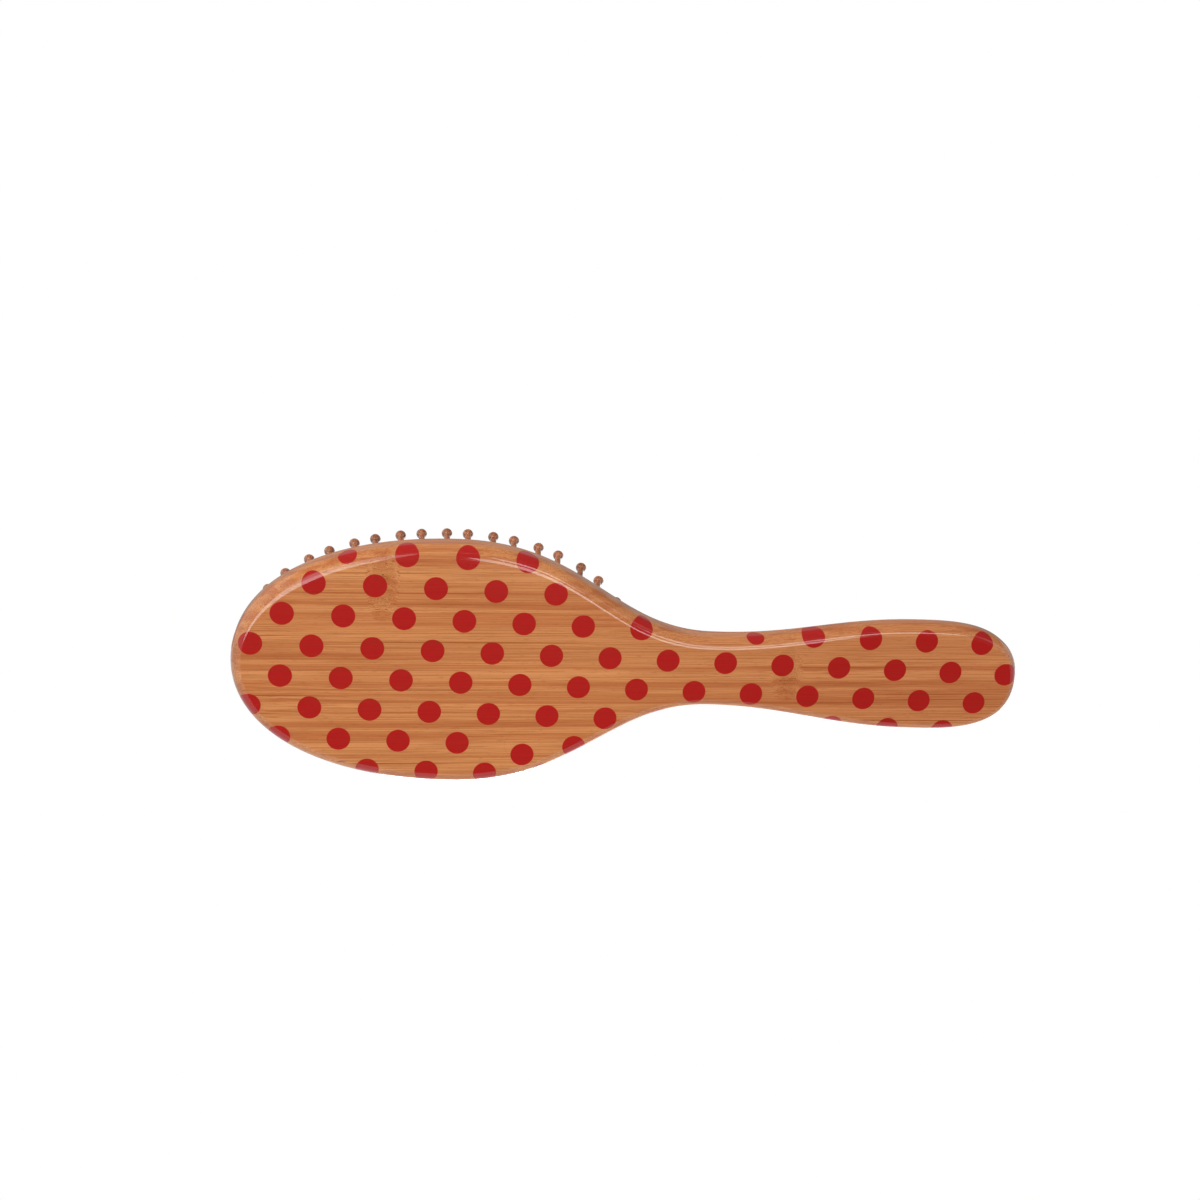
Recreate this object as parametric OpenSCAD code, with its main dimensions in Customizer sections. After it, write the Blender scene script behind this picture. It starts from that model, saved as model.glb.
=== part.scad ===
// Oval cushion hair brush: a bamboo board with a routed pocket, a domed rubber
// air cushion tucked under the pocket's lip, and wooden pins with ball tips.
// The brush lies on its flat back: +X runs from the head to the handle, +Z the
// way the pins point, and the origin is on the back face at the widest line of
// the head.

/* [Bamboo board] */
// Reach of the head end from the widest line of the head
head_reach = 61; // [54:0.5:72]
// Width of the head
head_w = 68.6; // [62:0.2:80]
// Place of the neck, from the widest line of the head
neck_x = 71.6; // [66:0.2:84]
// Width of the neck
neck_w = 20.2; // [16:0.2:28]
// Place of the widest line of the handle
grip_x = 132; // [118:0.5:142]
// Width of the handle
grip_w = 31.8; // [26:0.2:38]
// Reach of the handle's end from the widest line of the head
tail_reach = 161; // [152:0.5:180]
// Thickness of the board at the head
head_t = 12; // [11:0.25:16]
// Thickness of the board at the handle
grip_t = 9.5; // [8:0.25:14]
// How far the rounding of the back edge reaches in from the side of the head
back_round_in = 3.4; // [1:0.1:4.5]
// How far it reaches in from the side of the neck and the handle
grip_round_in = 2.8; // [1:0.1:4.5]
// How far the rounding of the back edge climbs up the side
back_round_up = 4.5; // [1:0.1:5]
// How far the rounding of the front edge reaches in from the side
front_round_in = 2.6; // [1:0.1:3]
// How far the rounding of the front edge climbs down the side
front_round_up = 3; // [1:0.1:3.2]
// Fullness of the head end, along its length and across its width
head_full = [0.635, 0.56]; // [0.3:0.01:0.9]
// Fullness of the shoulders, at the head and at the neck
shoulder_full = [0.5, 0.38]; // [0.2:0.01:0.6]
// Fullness of the handle's taper, at the neck and at the handle
taper_full = [0.38, 0.4]; // [0.2:0.01:0.6]
// Fullness of the handle's end, along its length and across its width
tail_full = [0.36, 1.02]; // [0.2:0.01:1.1]

/* [Pocket and lip] */
// Bamboo left between the cushion and the head end
end_border = 4.8; // [4:0.1:8]
// Bamboo left between the cushion and the side of the head
side_border = 5.3; // [4.5:0.1:8]
// Depth of the pocket below the front face
pocket_depth = 5; // [4.6:0.1:6.5]
// How far the groove at the pocket's foot cuts under the lip
groove_in = 1.3; // [0.6:0.1:1.5]
// Height of the groove above the pocket's floor
groove_h = 2.3; // [1.5:0.1:2.6]
// Clearance between the rubber and the bamboo
seat_gap = 0.1; // [0.05:0.01:0.2]
// Broken edge round the pocket's mouth
lip_bevel = 0.3; // [0.1:0.05:0.5]

/* [Rubber cushion] */
// Reach of the cushion towards the handle from the widest line of the head
cushion_reach = 49.5; // [42:0.5:50]
// Thickness of the rubber
skin_t = 1.6; // [1.2:0.1:2]
// Height of the cushion's rounded edge above the front face
edge_h = 0.8; // [0.5:0.1:1.5]
// Rise of the dome above that edge
dome_h = 5.8; // [4:0.1:7]
// Radius of the vent hole at the crown
vent_r = 0.9; // [0.5:0.1:1.4]
// Height of the collar moulded round each pin
collar_h = 0.45; // [0.2:0.05:0.8]
// Width of a collar's flat top
collar_wall = 0.35; // [0.2:0.05:0.5]
// How far a collar's outside slopes out from there
collar_slope = 0.35; // [0.2:0.05:0.5]
// Clearance between a collar and the foot of its pin
collar_gap = 0.25; // [0.1:0.05:0.4]

/* [Pins] */
// Length of a pin from the rubber to the middle of its ball
pin_l = 17.2; // [12:0.2:22]
// Radius of the ball tip
ball_r = 1.5; // [1.1:0.05:1.8]
// Radius of the shank under the ball
shank_r = 0.8; // [0.6:0.05:1]
// Radius of the hollow where the shank meets the ball
neck_hollow = 0.7; // [0.4:0.1:1.2]
// Radius of the shank's foot on the rubber
foot_r = 1.15; // [1:0.05:1.35]
// Radius of the neck that the rubber grips
pin_neck_r = 0.85; // [0.6:0.05:0.9]
// Radius of the head behind the rubber
pin_head_r = 2; // [1.7:0.1:2.1]
// Thickness of the head behind the rubber
pin_head_t = 0.9; // [0.6:0.1:1.4]
// Distance from the cushion's edge to the outer ring of pins
ring_edge = 4; // [3.8:0.1:5]
// Half the space between the two middle rows of pins
ring_core = 4.2; // [3.5:0.1:5]
// Distance between neighbouring pins along a ring
pin_pitch = 6.4; // [5.8:0.1:9]
// How far the pins of a ring stand off even spacing, in pairs
pair_shift = 0.3; // [0:0.05:0.5]

/* [Hidden] */

// Colours of the lacquered bamboo, the rubber and the varnished pins
BAMBOO = [0.80, 0.52, 0.30];
RUBBER = [0.12, 0.11, 0.11];
PIN_WOOD = [0.56, 0.32, 0.22];

// Pieces of a curve: steps along each part of the outline, along a quarter
// round, along the hollow under a ball, and around the cushion
OUTLINE_STEPS = 15;
ROUND_STEPS = 5;
HOLLOW_STEPS = 4;
CUSHION_STEPS = 60;
// Pieces of a full circle on a pin or a collar, and in a hole
TURN_STEPS = 32;
HOLE_STEPS = 24;
// Steps in which a ring's length is measured
RING_STEPS = 360;
RINGS = 4;
SECTORS = 4;

// Running clearance of a pin's neck in its hole, the space that a pin leaves
// above and below the rubber, how deep a collar's root stands in the rubber, and
// how far a cutting tool runs past a face
HOLE_GAP = 0.05;
PIN_SEAT = 0.02;
HEAD_GAP = 0.2;
COLLAR_ROOT = 0.5;
CUT_PAST = 1;

// The half width of the cushion's crown line, where its two sides meet
CROWN_HALF = 1.4;
// Middle of the cushion's rounded edge, in from its side and up, in edge heights
EDGE_MIDDLE = [0.25, 0.65];

pocket_floor = head_t - pocket_depth;
cushion_half_w = head_w / 2 - side_border;
cushion_front = head_reach - end_border;
front_z = head_t;
edge_z = front_z + edge_h;
ring_step = (cushion_half_w - ring_edge - ring_core) / (RINGS - 1);

// The board thins from the head to the handle between these two places
thin_from = cushion_reach + groove_in + front_round_in;
thin_to = (neck_x + grip_x) / 2;

// ---- curves ----

function ease(u) = let (t = max(0, min(1, u))) t * t * (3 - 2 * t);

function bezier(p, t) =
    pow(1 - t, 3) * p[0] + 3 * pow(1 - t, 2) * t * p[1]
    + 3 * (1 - t) * t * t * p[2] + t * t * t * p[3];

function bezier_run(p, t) =
    3 * pow(1 - t, 2) * (p[1] - p[0]) + 6 * (1 - t) * t * (p[2] - p[1])
    + 3 * t * t * (p[3] - p[2]);

// The outline's right half, from the head end to the handle's end: each part
// leaves and meets the next along the length, and the ends are round
outline_parts = let (
    head = head_w / 2, neck = neck_w / 2, grip = grip_w / 2,
    shoulder = neck_x, taper = grip_x - neck_x, tail = tail_reach - grip_x
) [
    [[-head_reach, 0], [-head_reach, head * head_full[1]],
     [-head_reach * head_full[0], head], [0, head]],
    [[0, head], [shoulder * shoulder_full[0], head],
     [neck_x - shoulder * shoulder_full[1], neck], [neck_x, neck]],
    [[neck_x, neck], [neck_x + taper * taper_full[0], neck],
     [grip_x - taper * taper_full[1], grip], [grip_x, grip]],
    [[grip_x, grip], [grip_x + tail * tail_full[0], grip],
     [tail_reach, grip * tail_full[1]], [tail_reach, 0]]
];

// Each point of that half with the direction that faces out of the board
half_outline = [
    for (part = outline_parts, i = [0 : OUTLINE_STEPS - 1])
        let (t = i / OUTLINE_STEPS, run = bezier_run(part, t))
        [bezier(part, t), [-run[1], run[0]] / norm(run)],
    [[tail_reach, 0], [1, 0]]
];

// The whole outline, clockwise as seen from the pins' side
half_last = len(half_outline) - 1;
outline = concat(
    half_outline,
    [for (i = [half_last - 1 : -1 : 1])
        let (p = half_outline[i]) [[p[0][0], -p[0][1]], [p[1][0], -p[1][1]]]]
);

function board_t(x) =
    head_t + (grip_t - head_t) * ease((x - thin_from) / (thin_to - thin_from));

// The back's rounding narrows between the cushion and the neck
function back_round(x) =
    back_round_in
    + (grip_round_in - back_round_in) * ease((x - cushion_reach) / (neck_x - cushion_reach));

// ---- rings of points, and the solid between them ----

// A solid from rings that each hold the same even number of points, clockwise
// from above and mirrored about the X axis, so that a cap is a strip across
module ring_solid(rings) {
    count = len(rings[0]);
    half = count / 2;
    last = (len(rings) - 1) * count;
    sides = [
        for (k = [0 : len(rings) - 2], j = [0 : count - 1])
            let (a = k * count + j, b = k * count + (j + 1) % count)
            each [[a, b, b + count], [a, b + count, a + count]]
    ];
    caps = [
        for (j = [0 : half - 1])
            let (
                a = j, b = j + 1, c = (count - j - 1) % count, d = (count - j) % count,
                top = a == d ? [a, b, c] : b == c ? [a, b, d] : [a, b, c, d],
                n = len(top)
            )
            each [
                [for (i = [0 : n - 1]) last + top[i]],
                [for (i = [0 : n - 1]) top[n - 1 - i]]
            ]
    ];
    polyhedron(points = [for (ring = rings) each ring], faces = concat(sides, caps));
}

// A ring of the board: the outline drawn in by a share of the back's rounding at
// a height above the back, or by a distance at a depth below the front
function back_ring(share, z) =
    [for (p = outline)
        let (q = p[0] - share * back_round(p[0][0]) * p[1]) [q[0], q[1], z]];

function front_ring(inset, depth) =
    [for (p = outline)
        let (q = p[0] - inset * p[1]) [q[0], q[1], board_t(p[0][0]) - depth]];

// The cushion's plan, drawn in by a distance: an egg whose two halves keep the
// same width and have their own reach
function egg_point(inset, turn) =
    let (reach = (cos(turn) > 0 ? cushion_front : cushion_reach) - inset)
    [-reach * cos(turn), (cushion_half_w - inset) * sin(turn)];

function egg_ring(inset, z) =
    [for (i = [0 : CUSHION_STEPS - 1])
        let (p = egg_point(inset, 360 * i / CUSHION_STEPS)) [p[0], p[1], z]];

// ---- the dome ----

// Share of the way in from the edge to the crown line
function dome_share(inset) = 1 - inset / cushion_half_w;
function dome_z(inset) = edge_z + dome_h * (1 - pow(dome_share(inset), 2));
function dome_slope(inset) = 2 * dome_h / cushion_half_w * dome_share(inset);

// ---- the rings of pins ----

function ring_inset(r) = ring_edge + r * ring_step;

// Length along a ring from its head end to each measuring step
function run_lengths(inset) =
    let (p = [for (i = [0 : RING_STEPS]) egg_point(inset, 360 * i / RING_STEPS)])
    [for (i = 0, s = 0; i <= RING_STEPS;
          s = i < RING_STEPS ? s + norm(p[i + 1] - p[i]) : s, i = i + 1) s];

// The turn at which a ring has run a given length
function turn_at(runs, s) =
    let (i = max([for (j = [0 : RING_STEPS - 1]) if (runs[j] <= s) j]))
    360 * (i + (s - runs[i]) / (runs[i + 1] - runs[i])) / RING_STEPS;

// Every second ring starts with a pin on the brush's middle line, so that the
// pins of neighbouring rings stand in each other's gaps
function ring_start(r) = r % 2 == 0 ? 0.5 : 0;

// Each pin of a ring: its place on the rubber, the way it points, its sector
function ring_pins(r) =
    let (
        inset = ring_inset(r),
        runs = run_lengths(inset),
        whole = runs[RING_STEPS],
        count = 2 * round(whole / pin_pitch / 2)
    )
    [for (k = [0 : count - 1])
        let (
            share = (k + ring_start(r)) / count,
            side = sign(0.5 - share) * sign(share),
            mirrored = side > 0 ? k : count - k - 2 * ring_start(r),
            pair = side * (mirrored % 2 == 0 ? -1 : 1),
            turn = turn_at(runs, whole * share + pair * pair_shift),
            p = egg_point(inset, turn),
            reach = (cos(turn) > 0 ? cushion_front : cushion_reach) - inset,
            out = [-cos(turn) / reach, sin(turn) / (cushion_half_w - inset)],
            lean = dome_slope(inset) * out / norm(out),
            up = [lean[0], lean[1], 1]
        )
        [[p[0], p[1], dome_z(inset)], up / norm(up), floor(SECTORS * share + 0.5) % SECTORS]];

all_pins = [for (r = [0 : RINGS - 1]) ring_pins(r)];

// Stands its children on a pin's place, with +Z along the pin
module on_pin(pin) {
    tilt = acos(pin[1][2]);
    heading = atan2(pin[1][1], pin[1][0]);
    translate(pin[0]) rotate([0, tilt, heading]) children();
}

// ---- the pieces ----

module bamboo_body() {
    board = concat(
        [for (i = [0 : ROUND_STEPS])
            let (a = 90 * i / ROUND_STEPS)
            back_ring(1 - sin(a), back_round_up * (1 - cos(a)))],
        [for (i = [0 : ROUND_STEPS])
            let (a = 90 * i / ROUND_STEPS)
            front_ring(front_round_in * (1 - cos(a)), front_round_up * (1 - sin(a)))]
    );
    groove_top = pocket_floor + groove_h;
    groove = groove_in + seat_gap;
    pocket = [
        egg_ring(-groove, pocket_floor),
        egg_ring(-groove, groove_top),
        egg_ring(-seat_gap, groove_top),
        egg_ring(-seat_gap, head_t - lip_bevel),
        egg_ring(-seat_gap - lip_bevel, head_t),
        egg_ring(-seat_gap - lip_bevel, head_t + CUT_PAST)
    ];
    color(BAMBOO) difference() {
        ring_solid(board);
        ring_solid(pocket);
    }
}

module rubber_cushion() {
    bead_top = pocket_floor + groove_h - seat_gap;
    crown_inset = cushion_half_w - CROWN_HALF;
    dome_insets = concat([for (r = [0 : RINGS - 1]) ring_inset(r)], [crown_inset]);
    inner_edge = skin_t + edge_h;
    // From the crown's underside out to the bead, and back over the top
    skin = concat(
        [for (i = [RINGS : -1 : 0]) egg_ring(dome_insets[i], dome_z(dome_insets[i]) - skin_t)],
        [
            egg_ring(inner_edge, dome_z(inner_edge) - skin_t),
            egg_ring(skin_t, front_z - skin_t),
            egg_ring(skin_t, pocket_floor),
            egg_ring(-groove_in, pocket_floor),
            egg_ring(-groove_in, bead_top),
            egg_ring(0, bead_top),
            egg_ring(0, front_z),
            egg_ring(edge_h * EDGE_MIDDLE[0], front_z + edge_h * EDGE_MIDDLE[1]),
            egg_ring(edge_h, dome_z(edge_h))
        ],
        [for (i = [0 : RINGS]) egg_ring(dome_insets[i], dome_z(dome_insets[i]))]
    );
    color(RUBBER) difference() {
        union() {
            ring_solid(skin);
            for (ring = all_pins, pin = ring)
                on_pin(pin) collar();
        }
        for (ring = all_pins, pin = ring)
            on_pin(pin)
                translate([0, 0, -2 * skin_t])
                    cylinder(r = pin_neck_r + HOLE_GAP, h = 3 * skin_t, $fn = HOLE_STEPS);
        translate([(cushion_reach - cushion_front) / 2, 0, pocket_floor])
            cylinder(r = vent_r, h = pocket_depth + edge_h + dome_h + CUT_PAST, $fn = HOLE_STEPS);
    }
}

// The low collar that the rubber has round a pin: z = 0 is its outer face
module collar() {
    inside = foot_r + collar_gap;
    crest = inside + collar_wall;
    rotate_extrude($fn = TURN_STEPS) polygon([
        [inside, -COLLAR_ROOT],
        [crest + collar_slope, -COLLAR_ROOT],
        [crest + collar_slope, 0],
        [crest, collar_h],
        [inside, collar_h]
    ]);
}

// One pin, from the head behind the rubber to the ball: z = 0 is the rubber's
// outer face
module pin() {
    head_top = -skin_t - HEAD_GAP;
    head_foot = head_top - pin_head_t;
    bevel = pin_head_t / 3;
    // The hollow is an arc that leaves the shank and meets the ball smoothly
    hollow_x = shank_r + neck_hollow;
    hollow_z = pin_l - sqrt(pow(ball_r + neck_hollow, 2) - hollow_x * hollow_x);
    hollow_turn = atan2(pin_l - hollow_z, hollow_x);
    rotate_extrude($fn = TURN_STEPS) polygon(concat(
        [
            [0, head_foot],
            [pin_head_r - bevel, head_foot],
            [pin_head_r, head_foot + bevel],
            [pin_head_r, head_top],
            [pin_neck_r, head_top],
            [pin_neck_r, PIN_SEAT],
            [foot_r, PIN_SEAT]
        ],
        [for (i = [0 : HOLLOW_STEPS])
            let (a = hollow_turn * i / HOLLOW_STEPS)
            [hollow_x - neck_hollow * cos(a), hollow_z + neck_hollow * sin(a)]],
        [[0, pin_l]]
    ));
    translate([0, 0, pin_l]) sphere(r = ball_r, $fn = TURN_STEPS);
}

// The pins of one ring that stand in one quarter of it
module pin_run(r, sector) {
    color(PIN_WOOD)
        for (p = all_pins[r])
            if (p[2] == sector)
                on_pin(p) pin();
}

bamboo_body();
rubber_cushion();
pin_run(0, 0);  // outer_pins_head_end
pin_run(0, 1);  // outer_pins_right
pin_run(0, 2);  // outer_pins_handle_end
pin_run(0, 3);  // outer_pins_left
pin_run(1, 0);  // second_pins_head_end
pin_run(1, 1);  // second_pins_right
pin_run(1, 2);  // second_pins_handle_end
pin_run(1, 3);  // second_pins_left
pin_run(2, 0);  // third_pins_head_end
pin_run(2, 1);  // third_pins_right
pin_run(2, 2);  // third_pins_handle_end
pin_run(2, 3);  // third_pins_left
pin_run(3, 0);  // inner_pins_head_end
pin_run(3, 1);  // inner_pins_right
pin_run(3, 2);  // inner_pins_handle_end
pin_run(3, 3);  // inner_pins_left
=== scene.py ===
"""Oval cushion hair brush: a lacquered bamboo board with a print of red dots, a
domed rubber air cushion and varnished wooden pins, on a pale studio floor.

The brush lies on its flat back, with its pins up. +X runs from the head to the
handle, and the origin is on the back face at the widest line of the head. The
main camera looks at the back from below, through a floor that shows only from
above."""

import math

import bmesh
import bpy
import numpy as np
from bpy.props import (FloatProperty, FloatVectorProperty, IntProperty,
                       PointerProperty)
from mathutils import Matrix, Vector
from mathutils.geometry import delaunay_2d_cdt


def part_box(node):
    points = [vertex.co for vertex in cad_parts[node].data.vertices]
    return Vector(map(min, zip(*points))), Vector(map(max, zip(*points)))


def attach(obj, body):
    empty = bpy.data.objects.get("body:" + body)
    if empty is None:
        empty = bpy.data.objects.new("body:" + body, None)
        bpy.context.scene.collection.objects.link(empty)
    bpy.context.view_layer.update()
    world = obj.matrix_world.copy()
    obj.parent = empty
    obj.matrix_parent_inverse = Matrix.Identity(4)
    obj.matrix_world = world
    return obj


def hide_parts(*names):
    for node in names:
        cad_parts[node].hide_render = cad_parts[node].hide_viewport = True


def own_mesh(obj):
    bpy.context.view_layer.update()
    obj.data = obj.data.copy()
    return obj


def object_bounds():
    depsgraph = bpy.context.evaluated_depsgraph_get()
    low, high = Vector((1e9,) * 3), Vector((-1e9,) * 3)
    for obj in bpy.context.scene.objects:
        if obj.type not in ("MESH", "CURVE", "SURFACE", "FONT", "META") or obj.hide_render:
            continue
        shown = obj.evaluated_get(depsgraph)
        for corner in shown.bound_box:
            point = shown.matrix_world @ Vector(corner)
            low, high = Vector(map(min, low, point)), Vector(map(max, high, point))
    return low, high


bl_info = {
    "name": "Cushion hair brush",
    "version": (1, 0, 0),
    "blender": (4, 5, 0),
    "location": "3D View > Sidebar > Hair brush",
    "description": "Builds an oval cushion hair brush piece by piece around its fixed frame",
    "category": "Object",
}

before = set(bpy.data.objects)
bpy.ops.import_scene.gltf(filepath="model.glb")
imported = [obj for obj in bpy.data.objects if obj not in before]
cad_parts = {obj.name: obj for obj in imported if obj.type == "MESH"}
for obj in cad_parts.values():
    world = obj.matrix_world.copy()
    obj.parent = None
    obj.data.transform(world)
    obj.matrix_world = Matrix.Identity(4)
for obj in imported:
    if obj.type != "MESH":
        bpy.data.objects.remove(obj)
CAD_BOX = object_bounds()
BOARD_LOW, BOARD_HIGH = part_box("bamboo_body")
CUSHION_LOW, CUSHION_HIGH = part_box("rubber_cushion")

MM = 0.001

RINGS = ("outer", "second", "third", "inner")
SECTORS = ("head_end", "right", "handle_end", "left")
PIN_NODES = [f"{ring}_pins_{sector}" for ring in RINGS for sector in SECTORS]


# ---- sizes and colours that a user would change ----

def length(name, description, default):
    """A size in metres."""
    return FloatProperty(name=name, description=description, default=default,
                         subtype="DISTANCE", unit="LENGTH", precision=5)


def place(name, description, default, size=2):
    """A point in metres."""
    return FloatVectorProperty(name=name, description=description, default=default,
                               size=size, subtype="XYZ", unit="LENGTH", precision=5)


def share(name, description, default):
    """A plain number from 0 to 1."""
    return FloatProperty(name=name, description=description, default=default,
                         min=0, max=1, subtype="FACTOR")


def shares(name, description, default):
    """Two plain numbers, along and across."""
    return FloatVectorProperty(name=name, description=description, default=default, size=2)


def colour(name, description, default):
    """A linear colour."""
    return FloatVectorProperty(name=name, description=description, default=default,
                               size=3, subtype="COLOR", min=0, max=1)


class BoardSizes(bpy.types.PropertyGroup):
    """The bamboo board: outline, thickness and the routed pocket"""
    head_reach: length("Head reach", "From the widest line of the head to its end",
                       -BOARD_LOW.x)
    head_w: length("Head width", "Width of the head", BOARD_HIGH.y - BOARD_LOW.y)
    neck_x: length("Neck place", "From the widest line of the head to the neck", 71.6 * MM)
    neck_w: length("Neck width", "Width of the neck", 20.2 * MM)
    grip_x: length("Handle place", "From the head's widest line to the handle's", 132 * MM)
    grip_w: length("Handle width", "Width of the handle", 31.8 * MM)
    tail_reach: length("Handle reach", "From the head's widest line to the handle's end",
                       BOARD_HIGH.x)
    head_t: length("Head thickness", "Thickness of the board at the head",
                   BOARD_HIGH.z - BOARD_LOW.z)
    grip_t: length("Handle thickness", "Thickness of the board at the handle", 9.5 * MM)
    back_round_in: length("Back rounding at the head",
                          "How far the back edge's rounding reaches in there", 3.4 * MM)
    grip_round_in: length("Back rounding at the handle",
                          "How far the back edge's rounding reaches in there", 2.8 * MM)
    back_round_up: length("Back rounding, height",
                          "How far the back edge's rounding climbs", 4.5 * MM)
    front_round_in: length("Front rounding",
                           "How far the front edge's rounding reaches in", 2.6 * MM)
    front_round_up: length("Front rounding, height",
                           "How far the front edge's rounding drops", 3 * MM)
    head_full: shares("Head fullness", "Along its length and across its width", (0.635, 0.56))
    shoulder_full: shares("Shoulder fullness", "At the head and at the neck", (0.5, 0.38))
    taper_full: shares("Taper fullness", "At the neck and at the handle", (0.38, 0.4))
    tail_full: shares("Handle end fullness", "Along its length and across its width",
                      (0.36, 1.02))
    end_border: length("End border", "Bamboo between the cushion and the head end", 4.8 * MM)
    side_border: length("Side border", "Bamboo between the cushion and the side", 5.3 * MM)
    pocket_floor: length("Pocket floor", "Height of the pocket's floor", CUSHION_LOW.z)
    groove_in: length("Groove depth", "How far the groove cuts under the lip", 1.3 * MM)
    groove_h: length("Groove height", "Height of the groove above the floor", 2.3 * MM)
    seat_gap: length("Seat clearance", "Between the rubber and the bamboo", 0.1 * MM)
    lip_bevel: length("Lip bevel", "Broken edge round the pocket's mouth", 0.3 * MM)


class CushionSizes(bpy.types.PropertyGroup):
    """The domed rubber cushion and the collars moulded round its pins"""
    reach: length("Reach", "From the head's widest line towards the handle", 49.5 * MM)
    skin_t: length("Skin", "Thickness of the rubber", 1.6 * MM)
    edge_h: length("Edge height", "Height of the rounded edge above the board", 0.8 * MM)
    dome_h: length("Dome height", "Rise of the dome above that edge", 5.8 * MM)
    vent_r: length("Vent radius", "Radius of the vent hole at the crown", 0.9 * MM)
    hole_r: length("Hole radius", "Radius of the hole that a pin passes", 0.9 * MM)
    collar_r: length("Collar radius", "Radius of a collar's inside", 1.35 * MM)
    collar_h: length("Collar height", "Height of a collar's flat top", 0.45 * MM)
    collar_wall: length("Collar wall", "Width of a collar's flat top", 0.4 * MM)
    collar_slope: length("Collar slope", "How far a collar's outside slopes out", 0.4 * MM)


class DotPrint(bpy.types.PropertyGroup):
    """The print of round dots, seen square to the back"""
    diameter: length("Dot diameter", "Width of a dot", 6.49 * MM)
    half_pitch: length("Half pitch", "Half the distance of two dots in a row", 8.16 * MM)
    row_step: length("Row distance", "Distance between two rows", 8.824 * MM)
    start: place("First dot", "Centre of one dot", (-55.117 * MM, -23.32 * MM))
    turn: FloatProperty(name="Turn", description="How far the rows turn from the length",
                        default=math.radians(0.944), subtype="ANGLE", unit="ROTATION")
    odd_from: place("Empty place", "Place in the rows that has no dot",
                    (17.6 * MM, 22.0 * MM))
    odd_to: place("Odd dot", "Centre of the dot that stands beside that place",
                  (19.49 * MM, 24.85 * MM))
    bare_head: place("Bare place at the head", "Place in the rows that has no dot",
                     (42.79 * MM, -21.71 * MM))
    bare_neck: place("Bare place at the neck", "Place in the rows that has no dot",
                     (67.12 * MM, -12.48 * MM))
    stretch: FloatProperty(name="Stretch", description="How far the print is stretched up the side",
                           default=2.5, min=0.1)
    ink: colour("Ink", "Colour of the dots", (0.43, 0.013, 0.013))


class BambooLook(bpy.types.PropertyGroup):
    """The bamboo under its lacquer"""
    light: colour("Light fibre", "Colour of the light fibres", (0.71, 0.300, 0.112))
    middle: colour("Middle tone", "Colour between the fibres", (0.58, 0.200, 0.070))
    dark: colour("Dark line", "Colour of the dark lines", (0.30, 0.072, 0.018))
    speck: colour("Node specks", "Colour of the specks at a node of the cane",
                  (0.13, 0.035, 0.012))
    bundle_w: length("Bundle distance", "Distance between the cane's dark fibre bundles",
                     0.78 * MM)
    bundle_l: length("Bundle length", "Length over which a bundle comes and goes", 170 * MM)
    grain_turn: FloatProperty(name="Grain turn",
                              description="How far the grain turns from the length",
                              default=math.radians(-1.35), subtype="ANGLE", unit="ROTATION")
    head_node: place("Node at the head", "Middle of the cane's node in the head",
                     (-20.5 * MM, -25 * MM))
    grip_node: place("Node at the handle", "Middle of the cane's node in the handle",
                     (93 * MM, -1 * MM))
    lacquer_roughness: share("Lacquer roughness", "Roughness of the clear lacquer", 0.06)


class RubberLook(bpy.types.PropertyGroup):
    """The rubber cushion's finish"""
    base: colour("Rubber", "Colour of the rubber", (0.020, 0.017, 0.017))
    bloom: colour("Bloom", "Colour of the paler bloom on the rubber", (0.050, 0.044, 0.042))


class PinLook(bpy.types.PropertyGroup):
    """The varnished wooden pins"""
    light: colour("Light wood", "Colour of the light grain", (0.58, 0.205, 0.078))
    dark: colour("Dark wood", "Colour of the dark grain", (0.21, 0.062, 0.027))
    varnish_roughness: share("Varnish roughness", "Roughness of the varnish", 0.08)


class StudioSetup(bpy.types.PropertyGroup):
    """The camera, the lamps and the floor"""
    camera_at: place("Camera place", "Where the main camera stands",
                     (-17.17 * MM, -140.56 * MM, -424.57 * MM), size=3)
    camera_turn: FloatVectorProperty(
        name="Camera turn", description="Rotation of the main camera",
        default=[math.radians(a) for a in (163.9258, 6.4579, -3.6448)],
        size=3, subtype="EULER", unit="ROTATION")
    lens: FloatProperty(name="Lens", description="Focal length in millimetres",
                        default=48.713, unit="CAMERA")
    ambient: share("Ambient level", "Level of the even light from all round", 0.20)
    floor_reach: length("Floor reach", "Radius of the pale floor", 2.5)
    floor_tone: colour("Floor", "Colour of the floor", (0.68, 0.68, 0.68))
    floor_glow: share("Floor glow", "Light that the floor itself sends to the camera", 0.30)
    floor_steps: IntProperty(name="Floor steps", description="Corners of the round floor",
                             default=96, min=12)


GROUPS = {
    "brush_board": BoardSizes,
    "brush_cushion": CushionSizes,
    "brush_print": DotPrint,
    "brush_bamboo": BambooLook,
    "brush_rubber": RubberLook,
    "brush_pins": PinLook,
    "brush_studio": StudioSetup,
}

# Steps along each part of the outline, over the two roundings, round the cushion and
# over its edge
OUTLINE_STEPS = 60
BACK_STEPS = 18
FRONT_STEPS = 10
CUSHION_STEPS = 240
EDGE_STEPS = 6
# Width of the strip that keeps a flat face flat beside its rounding
FLAT_EDGE = 0.15 * MM
# Corners of a collar, rings on its outside, and the width of its inner face
COLLAR_CORNERS = 28
COLLAR_STEPS = 5
COLLAR_DROP = 0.12 * MM
# Radii of the rings round the vent hole, in radii of the hole
VENT_RINGS = (1, 1.25, 1.7)
# Distance between the dome's other points, and broken edge of the bead's corners
DOME_GRID = 1.4 * MM
BEAD_BEVEL = 0.2 * MM
# Angles between two faces from which their shared edge is drawn sharp
SHARP = math.radians(28)
DOME_SHARP = math.radians(60)
# Points this close together are one point: in a new mesh, and in a pin of the frame
SAME_POINT = 1e-7
SAME_PIN_POINT = 1e-6
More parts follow.
